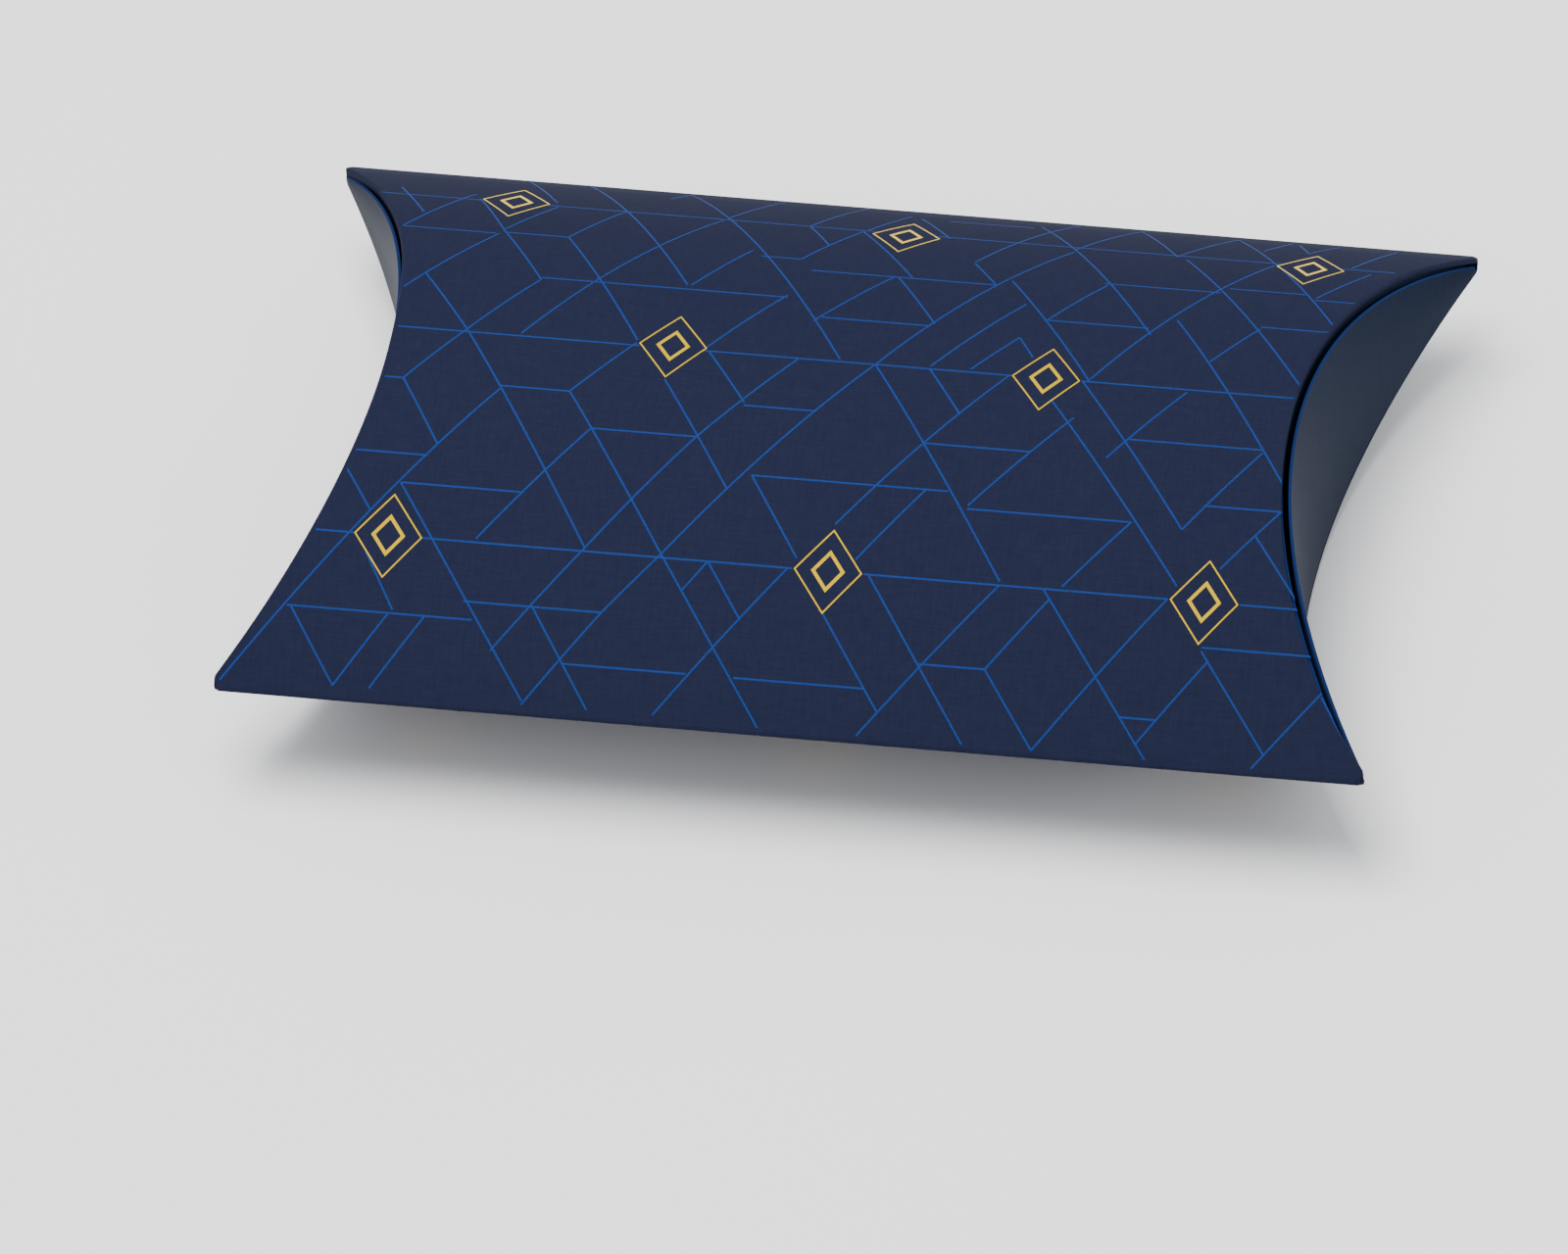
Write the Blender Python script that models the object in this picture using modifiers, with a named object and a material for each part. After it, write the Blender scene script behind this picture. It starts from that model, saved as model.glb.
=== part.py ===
"""Pillow box: a creased, glued sleeve of card whose curved end flaps hold its bulge.

The sleeve is two panels that bulge as shallow arcs and meet at two straight side folds. Each
end crease lies in a plane at 45 degrees, so that the flap beyond it stands upright when it is
shut, curving inwards, and carries on the panel's own curve, bulging outwards, when it is open.
Card bends and these solids do not, so each flap is a row of strips. The middle strip turns on
the end crease, and every other strip turns on its neighbour along an upright bend line.
X runs along the box, Z is up, and the origin is under the middle of the panel it lies on.
"""
import math

import bmesh
import bpy

MM = 0.001

# The closed box
BOX_LENGTH = 158.4 * MM          # between the tips of the panel it lies on
BOX_WIDTH = 100.0 * MM           # between the side folds
BOX_HEIGHT = 35.0 * MM           # over both bulging panels
CARD = 0.45 * MM                 # thickness of the card

# Room left between neighbours
SEAM_GAP = 0.3 * MM              # between two sheets that touch
FLAP_CLEARANCE = 0.8 * MM        # between the inner flap and the outer flap shut over it

# Across an end crease: the flap stands a little outside its panel, so that it passes the
# panel's edge when it is half open and its curve doesn't match the panel's
PANEL_SETBACK = 0.8 * MM         # from the end of a panel to the crease line
FLAP_SETBACK = 0.3 * MM          # from the root of a flap to the crease line
FLAP_STANDOFF = 1.3 * MM         # from the crease line outwards to the flap's card
HINGE_STANDOFF = 0.33 * MM       # from the crease line outwards, and into the box, to the hinge

# The end flaps
OUTER_FLAP_SHORT = 0.9 * MM      # how far the shut outer flap stops below the upper crease
INNER_FLAP_DEPTH_SHARE = 0.46    # inner flap's depth, as a share of the mouth's height
FLAP_TIP_HEIGHT = 3.0 * MM       # height of the mouth where the flaps end beside the tips
STRIPS = 7                       # strips in a flap, an odd number
FACETS_PER_STRIP = 9             # flats across one strip, an odd number

# The glue flap inside the rear fold
GLUE_FLAP_WIDTH = 14.0 * MM
GLUE_FLAP_END_GAP = 4.0 * MM     # from its slanted ends to the end creases
GLUE_FLAP_FACETS = 8

# Worked out from the sizes above
RISE = (BOX_HEIGHT - CARD) / 2
HALF_WIDTH = BOX_WIDTH / 2
BULGE_RADIUS = (HALF_WIDTH ** 2 + RISE ** 2) / (2 * RISE)
FOLD_ANGLE = math.asin(HALF_WIDTH / BULGE_RADIUS)
STRIP_ANGLE = 2 * FOLD_ANGLE / STRIPS
PANEL_FACETS = STRIPS * FACETS_PER_STRIP
FACET_ANGLE = 2 * FOLD_ANGLE / PANEL_FACETS
MIDDLE_STRIP = STRIPS // 2
OUTER_TIP = BOX_LENGTH / 2
INNER_TIP = OUTER_TIP - CARD - FLAP_CLEARANCE
TIP_ANGLE = math.acos((BULGE_RADIUS - RISE + FLAP_TIP_HEIGHT / 2) / BULGE_RADIUS)

ENDS = {"left": -1, "right": 1}

NAVY = (0.020, 0.027, 0.075, 1.0)
NAVY_PLAIN = (0.016, 0.025, 0.070, 1.0)
NAVY_INSIDE = (0.012, 0.022, 0.085, 1.0)


def bulge(angle, radius=BULGE_RADIUS):
    """Height above the side folds of a sheet curved about the panel's own axis."""
    return radius * math.cos(angle) - (BULGE_RADIUS - RISE)


# The lowest flat of the lower panel touches the ground
MIDDLE_HEIGHT = bulge(FACET_ANGLE / 2) + CARD / 2


def along_ruling(distance, angle):
    """A distance from the crease, measured along a ruling, which the crease crosses at a slant."""
    return distance * math.sqrt(1 + math.sin(angle) ** 2)


def clear_scene():
    for thing in list(bpy.data.objects):
        bpy.data.objects.remove(thing, do_unlink=True)


def new_collection(name):
    collection = bpy.data.collections.new(name)
    bpy.context.scene.collection.children.link(collection)
    return collection


def card_material(name, colour, roughness):
    material = bpy.data.materials.new(name)
    material.use_nodes = True
    shader = material.node_tree.nodes["Principled BSDF"]
    shader.inputs["Base Color"].default_value = colour
    shader.inputs["Roughness"].default_value = roughness
    shader.inputs["Metallic"].default_value = 0.0
    return material


def card_sheet(name, collection, material, facets, place, origin=(0, 0, 0), cells=1):
    """A sheet of card: a grid so many cells long and so many flats across, bent by place().

    place() takes two shares from -1 to 1, along the rulings and across them, and gives the
    point of the sheet's middle layer. Solidify gives the card its thickness to both sides.
    """
    sheet = bmesh.new()
    bmesh.ops.create_grid(sheet, x_segments=cells, y_segments=facets, size=1)
    for vert in sheet.verts:
        x, y, z = place(vert.co.x, vert.co.y)
        vert.co = (x - origin[0], y - origin[1], z - origin[2])
    mesh = bpy.data.meshes.new(name)
    sheet.to_mesh(mesh)
    sheet.free()
    piece = bpy.data.objects.new(name, mesh)
    piece.location = origin
    piece.data.materials.append(material)
    collection.objects.link(piece)
    thickness = piece.modifiers.new("card", "SOLIDIFY")
    thickness.thickness = CARD
    thickness.offset = 0
    thickness.use_even_offset = True
    return piece


def fold_cutter(name, collection, side):
    """A block that ends a panel just short of the level of the side folds.

    side is 1 for the upper panel, whose cutter fills the lower half, and -1 for the lower one.
    """
    bpy.ops.mesh.primitive_cube_add(size=1)
    cutter = bpy.context.object
    cutter.name = name
    cutter.dimensions = (BOX_LENGTH + BOX_WIDTH, BOX_WIDTH + BOX_HEIGHT, RISE)
    cutter.location = (0, 0, MIDDLE_HEIGHT + side * (SEAM_GAP - RISE) / 2)
    cutter.hide_render = True
    cutter.display_type = "WIRE"
    for owner in list(cutter.users_collection):
        owner.objects.unlink(cutter)
    collection.objects.link(cutter)
    return cutter


def cut_with(piece, cutter):
    trim = piece.modifiers.new("side fold", "BOOLEAN")
    trim.operation = "DIFFERENCE"
    trim.solver = "EXACT"
    trim.object = cutter


def panel_end(tip, angle):
    return tip - bulge(angle) - along_ruling(PANEL_SETBACK, angle)


def panel(name, collection, material, cutter, side, tip):
    """One bulging panel: side is 1 for the upper one and -1 for the one the box lies on."""
    # One more flat at each side fold, which the cutter then trims
    facets = PANEL_FACETS + 2
    widest = FACET_ANGLE * facets / 2

    def place(along, across):
        angle = across * widest
        end = panel_end(tip, angle)
        return along * end, BULGE_RADIUS * math.sin(angle), MIDDLE_HEIGHT + side * bulge(angle)

    piece = card_sheet(name, collection, material, facets, place)
    cut_with(piece, cutter)
    return piece


def glue_flap(collection, material, cutter):
    """The flap inside the rear fold, glued to the inner face of the lower panel."""
    radius = BULGE_RADIUS - CARD - SEAM_GAP
    outer_angle = FOLD_ANGLE + FACET_ANGLE
    inner_angle = FOLD_ANGLE - GLUE_FLAP_WIDTH / BULGE_RADIUS

    def place(along, across):
        share = (across + 1) / 2
        angle = inner_angle + (outer_angle - inner_angle) * share
        end = INNER_TIP - bulge(angle) - GLUE_FLAP_END_GAP
        return along * end, radius * math.sin(angle), MIDDLE_HEIGHT - bulge(angle, radius)

    piece = card_sheet("glue_flap", collection, material, GLUE_FLAP_FACETS, place)
    cut_with(piece, cutter)
    return piece


def bend_line(index):
    """Angle of the bend line before strip number index, counted across the flap."""
    return -FOLD_ANGLE + STRIP_ANGLE * index


def hinge_point(end, tip, side, index):
    """Where a strip turns: the middle one beside the crease, the others on their bend line."""
    if index == MIDDLE_STRIP:
        crease = bulge(bend_line(index))
        height = side * (crease - HINGE_STANDOFF)
        return end * (tip - crease + HINGE_STANDOFF), 0, MIDDLE_HEIGHT + height
    angle = bend_line(index + 1) if index < MIDDLE_STRIP else bend_line(index)
    return end * (tip + FLAP_STANDOFF - bulge(angle)), BULGE_RADIUS * math.sin(angle), MIDDLE_HEIGHT


def flap(label, collection, material, end_name, tip, side, free_height, carrier):
    """A row of strips that stands upright in the mouth when it is shut.

    side is -1 when the flap is creased to the lower panel and 1 when it hangs from the upper
    one. free_height() gives the height of its free edge over the level of the side folds. The
    middle strip also has the bend of the crease: a heel that reaches back to the panel's end.
    """
    end = ENDS[end_name]
    strips = {}
    # From the middle outwards, so that each strip finds the one that carries it
    for index in sorted(range(STRIPS), key=lambda number: abs(number - MIDDLE_STRIP)):
        low = max(bend_line(index) + SEAM_GAP / 2 / BULGE_RADIUS, -TIP_ANGLE)
        high = min(bend_line(index + 1) - SEAM_GAP / 2 / BULGE_RADIUS, TIP_ANGLE)

        heel = index == MIDDLE_STRIP

        def place(along, across, low=low, high=high, heel=heel):
            angle = low + (high - low) * (across + 1) / 2
            out = tip + FLAP_STANDOFF - bulge(angle)
            root = side * (bulge(angle) - along_ruling(FLAP_SETBACK, angle))
            share = along if heel else (along + 1) / 2
            if share < 0:
                out = panel_end(tip, angle) + SEAM_GAP
                share = 0
            height = root + (free_height(angle) - root) * share
            return end * out, BULGE_RADIUS * math.sin(angle), MIDDLE_HEIGHT + height

        origin = hinge_point(end, tip, side, index)
        name = f"{label}_{end_name}_strip_{index + 1}"
        cells = 2 if heel else 1
        strip = card_sheet(name, collection, material, FACETS_PER_STRIP, place, origin, cells)
        if index == MIDDLE_STRIP:
            parent = carrier
            anchor = (0, 0, 0)
        else:
            nearer = index + 1 if index < MIDDLE_STRIP else index - 1
            parent = strips[nearer]
            anchor = hinge_point(end, tip, side, nearer)
        strip.parent = parent
        strip.location = [mine - theirs for mine, theirs in zip(origin, anchor)]
        strips[index] = strip
    return strips


def outer_free_height(angle):
    return bulge(angle) - OUTER_FLAP_SHORT


def inner_free_height(angle):
    return bulge(angle) * (1 - 2 * INNER_FLAP_DEPTH_SHARE)


def build():
    clear_scene()
    parts = new_collection("pillow_box")
    cutters = new_collection("cutters")
    printed = card_material("printed_card", NAVY, 0.42)
    plain = card_material("plain_card", NAVY_PLAIN, 0.36)
    inside = card_material("inside_card", NAVY_INSIDE, 0.70)

    above = fold_cutter("fold_level_for_top", cutters, 1)
    below = fold_cutter("fold_level_for_bottom", cutters, -1)
    top = panel("top_panel", parts, printed, above, 1, INNER_TIP)
    bottom = panel("bottom_panel", parts, printed, below, -1, OUTER_TIP)
    glue_flap(parts, inside, below)
    for end_name in ENDS:
        flap("outer_flap", parts, plain, end_name, OUTER_TIP, -1, outer_free_height, bottom)
        flap("inner_flap", parts, inside, end_name, INNER_TIP, 1, inner_free_height, top)


build()
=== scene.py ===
# %% [markdown]
# A pillow box is one sheet of creased card, glued into a sleeve. Its two curved end creases make
# the sleeve bulge, and the flaps beyond them turn into the ends and hold the bulge. This lesson
# dresses the measured model of such a box. First the fixed model is loaded, and its panels give
# the heights that the sizes start from.

# %% Load the measured model
import math

import bmesh
import bpy
from mathutils import Matrix, Vector


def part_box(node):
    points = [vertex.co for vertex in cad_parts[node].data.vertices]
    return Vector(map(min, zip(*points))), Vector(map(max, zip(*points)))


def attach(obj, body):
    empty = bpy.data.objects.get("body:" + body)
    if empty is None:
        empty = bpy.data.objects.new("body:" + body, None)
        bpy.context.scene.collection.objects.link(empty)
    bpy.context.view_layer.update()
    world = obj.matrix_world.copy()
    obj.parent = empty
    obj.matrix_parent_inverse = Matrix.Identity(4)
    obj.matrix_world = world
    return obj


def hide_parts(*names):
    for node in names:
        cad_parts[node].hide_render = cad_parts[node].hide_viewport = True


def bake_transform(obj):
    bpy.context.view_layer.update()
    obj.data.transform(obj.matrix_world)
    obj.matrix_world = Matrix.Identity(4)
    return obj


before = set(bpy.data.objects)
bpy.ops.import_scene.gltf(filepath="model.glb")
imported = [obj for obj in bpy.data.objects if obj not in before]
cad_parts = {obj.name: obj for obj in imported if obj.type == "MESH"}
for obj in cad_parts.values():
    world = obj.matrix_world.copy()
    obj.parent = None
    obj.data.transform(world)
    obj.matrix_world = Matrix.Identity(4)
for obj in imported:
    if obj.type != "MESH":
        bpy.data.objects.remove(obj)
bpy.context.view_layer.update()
bpy.ops.object.select_all(action="DESELECT")

# %% [markdown]
# Card has a thickness, and the bulge of a pillow box is an arc. The sizes here are the ones the
# model was drawn to, and the rest follows from them. Two numbers describe a sheet: how far its
# arc rises over the side folds, and the radius that this gives it.

# %% Sizes of the box
MM = 0.001
CARD = 0.45 * MM                 # thickness of the card
BOX_LENGTH = 158.4 * MM          # between the tips of the lower panel
BOX_WIDTH = 100.0 * MM
FLAP_CLEARANCE = 0.8 * MM        # between the inner and the outer flap of one end

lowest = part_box("bottom_panel")[0][2]
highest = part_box("top_panel")[1][2]
MIDDLE = (lowest + highest) / 2
RISE = (highest - lowest - CARD) / 2
HALF_WIDTH = BOX_WIDTH / 2
RADIUS = (HALF_WIDTH ** 2 + RISE ** 2) / (2 * RISE)
FOLD_ANGLE = math.asin(HALF_WIDTH / RADIUS)
OUTER_TIP = BOX_LENGTH / 2
INNER_TIP = OUTER_TIP - CARD - FLAP_CLEARANCE
print("rise", round(RISE / MM, 3), "mm, radius", round(RADIUS / MM, 2), "mm")

# %% [markdown]
# The flaps turn about lines that stand a little off the crease. A sheet that stands off the
# crease by twice that distance lies level with its panel when it is fully open, so the flaps are
# drawn there. The skin of the box is what a hand would touch: the outer face of the card.

# %% Where the skin of the card lies
HINGE_STANDOFF = 0.33 * MM
FLAP_STANDOFF = 2 * HINGE_STANDOFF
HALF_CARD = CARD / 2
SKIN_RADIUS = RADIUS + HALF_CARD
AXIS_DEPTH = RADIUS - RISE       # from the side folds to the axis of a panel's arc
SKIN_FOLD_ANGLE = math.acos(AXIS_DEPTH / SKIN_RADIUS)
SKIN_TIP = OUTER_TIP + FLAP_STANDOFF + CARD
print("skin reaches", round(SKIN_TIP / MM, 2), "mm from the middle")

# %% [markdown]
# Every piece is worked on in edit mode, where an operator acts on all that is selected. These
# small helpers open one piece, pick its parts by where they are, and close it again. They keep
# the steps that follow short, and they are the same steps that one would do by hand.

# %% Helpers for working on one piece
CUT_TOLERANCE = 0.001 * MM
WELD = 0.01 * MM                 # corners closer than this are merged


def make_active(piece):
    """Select this piece and nothing else."""
    bpy.ops.object.select_all(action="DESELECT")
    piece.select_set(True)
    bpy.context.view_layer.objects.active = piece


def open_piece(piece):
    make_active(piece)
    bpy.ops.object.mode_set(mode="EDIT")
    bpy.ops.mesh.select_mode(type="VERT")


def close_piece():
    bpy.ops.object.mode_set(mode="OBJECT")


def pick_edges(test):
    """Select only the edges that pass the test."""
    mesh = bmesh.from_edit_mesh(bpy.context.edit_object.data)
    bpy.ops.mesh.select_mode(type="EDGE")
    bpy.ops.mesh.select_all(action="DESELECT")
    for edge in mesh.edges:
        edge.select = test(edge)
    mesh.select_flush_mode()
    bmesh.update_edit_mesh(bpy.context.edit_object.data)


def on_border(edge):
    return edge.is_boundary


def move_picked(move):
    """Put each selected corner where move() says."""
    mesh = bmesh.from_edit_mesh(bpy.context.edit_object.data)
    for vert in mesh.verts:
        if vert.select:
            vert.co = move(vert.co.copy())
    bmesh.update_edit_mesh(bpy.context.edit_object.data)


def trim(point, outwards, fill=False):
    """Cut the whole piece with a plane and drop what lies on its outer side."""
    bpy.ops.mesh.select_all(action="SELECT")
    bpy.ops.mesh.bisect(
        plane_co=point,
        plane_no=outwards,
        clear_outer=True,
        use_fill=fill,
        threshold=CUT_TOLERANCE,
    )


def copied(piece):
    """A copy of a piece, with a mesh of its own."""
    twin = piece.copy()
    twin.data = piece.data.copy()
    bpy.context.scene.collection.objects.link(twin)
    return twin


# %% [markdown]
# A sheet bent to an arc can be made by moving corners along a formula, by a bend modifier, or by
# spinning one straight line round the axis of the arc. The spin is chosen, because the result is
# exact and every line along the box stays straight, as it does on bent card.

# %% A straight line to spin
def straight_line(name, start, end):
    """One edge from start to end, made from a plane that loses its other side."""
    bpy.ops.mesh.primitive_plane_add(size=BOX_WIDTH)
    line = bpy.context.object
    line.name = name
    open_piece(line)
    mesh = bmesh.from_edit_mesh(line.data)
    for vert in mesh.verts:
        vert.select = vert.co.y > 0
    mesh.select_flush_mode()
    bmesh.update_edit_mesh(line.data)
    bpy.ops.mesh.delete(type="VERT")
    mesh = bmesh.from_edit_mesh(line.data)
    mesh.verts.ensure_lookup_table()
    left, right = sorted(mesh.verts, key=lambda vert: vert.co.x)
    left.co = start
    right.co = end
    bmesh.update_edit_mesh(line.data)
    close_piece()
    return line


# %% [markdown]
# The sleeve comes first. The upper panel is a line spun from the front fold to the rear fold,
# and the lower panel is the same sheet turned over about the middle of the box. Where the two
# meet, their edges are merged, so that the card runs round the fold without a seam.

# %% Spin the sleeve
PANEL_STEPS = 112

front = SKIN_RADIUS * math.sin(SKIN_FOLD_ANGLE)
sleeve = straight_line(
    "sleeve_card",
    (-SKIN_TIP, -front, MIDDLE),
    (SKIN_TIP, -front, MIDDLE),
)
open_piece(sleeve)
bpy.ops.mesh.select_all(action="SELECT")
bpy.ops.mesh.spin(
    steps=PANEL_STEPS,
    angle=2 * SKIN_FOLD_ANGLE,
    center=(0, 0, MIDDLE - AXIS_DEPTH),
    axis=(1, 0, 0),
)
bpy.ops.mesh.select_all(action="SELECT")
bpy.ops.mesh.duplicate()
bpy.ops.transform.rotate(
    value=math.pi,
    orient_axis="X",
    center_override=(0, 0, MIDDLE),
)
bpy.ops.mesh.select_all(action="SELECT")
bpy.ops.mesh.remove_doubles(threshold=WELD)
close_piece()
top_of_spin = max(vert.co.z for vert in sleeve.data.vertices)
print("sleeve spun,", len(sleeve.data.polygons), "faces, top at", round(top_of_spin / MM, 2), "mm")

# %% [markdown]
# Card doesn't fold to a knife edge. A bevel with a few segments along the two side folds gives
# them the small roundness of thick card, and it catches the light as a thin line.

# %% Round the side folds
FOLD_ROUNDING = 0.75 * MM
FOLD_SEGMENTS = 5


def on_side_fold(edge):
    return all(abs(vert.co.z - MIDDLE) < WELD for vert in edge.verts)


open_piece(sleeve)
pick_edges(on_side_fold)
bpy.ops.mesh.bevel(offset=FOLD_ROUNDING, segments=FOLD_SEGMENTS, affect="EDGES")
close_piece()
widest = max(vert.co.y for vert in sleeve.data.vertices)
print("width over the folds", round(2 * widest / MM, 2), "mm")

# %% [markdown]
# An end crease looks like a complicated curve, but it lies in a plane: where a bulging sheet is
# cut at 45 degrees, the cut is the curve along which it folds square. Four such cuts, one for
# each panel and end, shape both ends of the sleeve. They stop short of the crease by the radius
# of its rounding, which is made later.

# %% Cut the ends at 45 degrees
CREASE_ROUNDING = 0.55 * MM
ENDS = {"left": -1, "right": 1}
HALVES = {"upper": 1, "lower": -1}

open_piece(sleeve)
for end in ENDS.values():
    for half in HALVES.values():
        trim((end * (SKIN_TIP - CREASE_ROUNDING), 0, MIDDLE), (end, 0, half))
close_piece()
print("sleeve cut to its creases,", len(sleeve.data.polygons), "faces")

# %% [markdown]
# The four tips will be rounded later, and a small round needs more corners than the spin gave.
# A bisect that drops nothing draws one more line on the sheet, so a few of them are drawn beside
# each side fold. They lie on the flats between the lines of the spin, and are lifted to the arc.

# %% More lines beside the side folds
TIP_LINE_STEP = 0.25 * MM
TIP_LINES = 14


def draw_line(point, across):
    """Divide all faces where a plane crosses them."""
    bpy.ops.mesh.select_all(action="SELECT")
    bpy.ops.mesh.bisect(plane_co=point, plane_no=across, threshold=CUT_TOLERANCE)


def lifted_to_arc(place):
    """Put a corner on the arc of its panel, unless it belongs to the rounding of a fold."""
    if abs(place.z - MIDDLE) < FOLD_ROUNDING:
        return place
    depth = math.copysign(AXIS_DEPTH, place.z - MIDDLE)
    arm = Vector((place.y, place.z - MIDDLE + depth))
    arm *= SKIN_RADIUS / arm.length
    place.y = arm.x
    place.z = arm.y + MIDDLE - depth
    return place


open_piece(sleeve)
for side in (-1, 1):
    for number in range(1, TIP_LINES + 1):
        draw_line((0, side * (widest - number * TIP_LINE_STEP), MIDDLE), (0, 1, 0))
bpy.ops.mesh.select_all(action="SELECT")
move_picked(lifted_to_arc)
close_piece()
print("lines drawn,", len(sleeve.data.polygons), "faces")

# %% [markdown]
# The upper panel ends a little inside the lower one, because its flap is tucked in first and the
# lower panel's flap shuts over it. The gap between them closes towards the corners, where both
# creases run into one tip. Card never folds quite even: the left end is shut tight and gapes only
# at the rear, and the right end gapes most at the front. The lines along the box are straight,
# so a crease can slide along them without leaving the sheet.

# %% Draw the upper crease in
LIP_DEPTH = 0.93 * MM            # how far the card rolls down over a crease
OPEN_HEIGHT = 7.0 * MM           # where the gap has opened, over the side folds
SIDE_START = 30.0 * MM           # from here on outwards, a side has the inset that is its own
UPPER_INSETS = {
    "left": {"front": 0.1 * MM, "middle": 0.15 * MM, "rear": 0.9 * MM},
    "right": {"front": 1.7 * MM, "middle": 1.15 * MM, "rear": 1.1 * MM},
}


def clamped(share):
    return min(max(share, 0), 1)


def eased(share):
    """A share from 0 to 1 that starts and stops gently."""
    share = clamped(share)
    return share * share * (3 - 2 * share)


def upper_inset(place):
    """How far the upper crease stays inside the lower one, at a place on the crease."""
    insets = UPPER_INSETS["right" if place.x > 0 else "left"]
    side_inset = insets["rear" if place.y > 0 else "front"]
    side_share = eased(abs(place.y) / SIDE_START)
    opened_share = clamped((place.z - MIDDLE - LIP_DEPTH) / (OPEN_HEIGHT - LIP_DEPTH))
    return opened_share * (insets["middle"] + (side_inset - insets["middle"]) * side_share)


def draw_in(place):
    if place.z > MIDDLE:
        place.x -= math.copysign(upper_inset(place), place.x)
    return place


open_piece(sleeve)
pick_edges(on_border)
move_picked(draw_in)
close_piece()
print("upper creases drawn in")

# %% [markdown]
# The four tips, where a fold meets two creases, are sharp so far. On the real box they are small
# rounded noses. Seen from above, a tip is a corner between the straight fold and the crease, so
# what sticks out of a circle that fits into that corner is pulled back to the circle. It isn't
# stopped hard there but slowed down, which gives the nose a soft shoulder. On the side of the
# crease the circle is smaller, because the rolled card will go round it there. A few lines are
# drawn across the tips first, so that only the tips move and the folds stay straight.

# %% Round the tips
TIP_ROUNDING = 1.2 * MM
TIP_SHOULDER = 0.45 * MM         # where the pulling back sets in, before the circle

fold_line = Vector((-1, 0))
crease_line = Vector((-math.tan(SKIN_FOLD_ANGLE), -1)).normalized()
halfway = (fold_line + crease_line).normalized()
half_corner = math.acos(halfway.dot(fold_line))
circle = Vector((SKIN_TIP, widest)) + halfway * TIP_ROUNDING / math.sin(half_corner)
crease_side = math.atan2(crease_line.x, -crease_line.y)
fold_side = math.pi / 2


def nose_share(place):
    """How far a place is round a tip: 0 on the side of the crease, and 1 on that of the fold."""
    offset = Vector((abs(place.x), abs(place.y))) - circle
    angle = math.atan2(offset.y, offset.x)
    return clamped((angle - crease_side) / (fold_side - crease_side))


def pulled_back(place, roll):
    """Where a place goes so that the tip is round once a roll of that radius is added."""
    offset = Vector((abs(place.x), abs(place.y))) - circle
    share = nose_share(place)
    radius = TIP_ROUNDING - roll * (1 - share)
    shoulder = TIP_SHOULDER * math.sin(math.pi * share)
    too_far = offset.length - (radius - shoulder)
    if not 0 < share < 1 or too_far < 0:
        return place
    reach = radius - shoulder * math.exp(-too_far / max(shoulder, WELD))
    drawn = circle + offset.normalized() * reach
    place.x = math.copysign(drawn.x, place.x)
    place.y = math.copysign(drawn.y, place.y)
    return place


open_piece(sleeve)
for end in ENDS.values():
    for number in range(1, TIP_LINES + 1):
        draw_line((end * (SKIN_TIP - number * TIP_LINE_STEP), 0, MIDDLE), (1, 0, 0))
bpy.ops.mesh.select_all(action="SELECT")
move_picked(lambda place: pulled_back(place, CREASE_ROUNDING))
close_piece()
print("tips rounded, from the crease at", round(math.degrees(crease_side), 1), "degrees")

# %% [markdown]
# At a crease the card rolls over from the panel into the flap. The border of the sleeve is
# extruded in short steps round a quarter circle, and then straight on as a lip. Near the tips
# there is no room for the whole lip, and it stops where the two panels meet. Round a tip the
# roll turns with the border, and it fades out towards the fold. On the left, where the upper
# crease stands further out than the flap behind it, its lip is deeper, so that no light gets in.

# %% Roll the card over the creases
CREASE_STEPS = 5
LEFT_LIP_DEPTH = 1.5 * MM


def roll_step(out, down):
    """Extrude the border of the sleeve outwards, and towards the middle of the box."""
    bpy.ops.mesh.extrude_edges_move()

    def move(place):
        share = nose_share(place)
        turn = share * math.pi / 2
        place.x += math.copysign(out * (1 - share) * math.cos(turn), place.x)
        place.y += math.copysign(out * (1 - share) * math.sin(turn), place.y)
        height = place.z - MIDDLE
        place.z = MIDDLE + math.copysign(max(abs(height) - down, 0), height)
        return place

    move_picked(move)


def deepened(place):
    """The lip of the left upper crease reaches further down than the others."""
    if place.x < 0 and place.z > MIDDLE:
        place.z = max(place.z - (LEFT_LIP_DEPTH - LIP_DEPTH), MIDDLE)
    return place


open_piece(sleeve)
pick_edges(on_border)
for step in range(CREASE_STEPS):
    before = math.pi / 2 * step / CREASE_STEPS
    after = math.pi / 2 * (step + 1) / CREASE_STEPS
    out = CREASE_ROUNDING * (math.sin(after) - math.sin(before))
    down = CREASE_ROUNDING * (math.cos(before) - math.cos(after))
    roll_step(out, down)
roll_step(0, LIP_DEPTH - CREASE_ROUNDING)
move_picked(deepened)
bpy.ops.mesh.select_all(action="SELECT")
bpy.ops.mesh.remove_doubles(threshold=WELD)
bpy.ops.mesh.normals_make_consistent(inside=False)
close_piece()
top_face = max(sleeve.data.polygons, key=lambda face: face.center.z)
if top_face.normal.z < 0:
    sleeve.data.flip_normals()
longest = max(vert.co.x for vert in sleeve.data.vertices)
print("length over the creases", round(2 * longest / MM, 2), "mm")

# %% [markdown]
# So far the sleeve is a skin without a thickness. Materials come before the thickness, because
# the same modifier that thickens the card can give its inner face a finish of its own. Paper
# that is printed on one side is darker and duller inside. All finishes are made of nodes.

# %% Helpers for finishes
USUAL_GLOSS = 0.5


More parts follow.
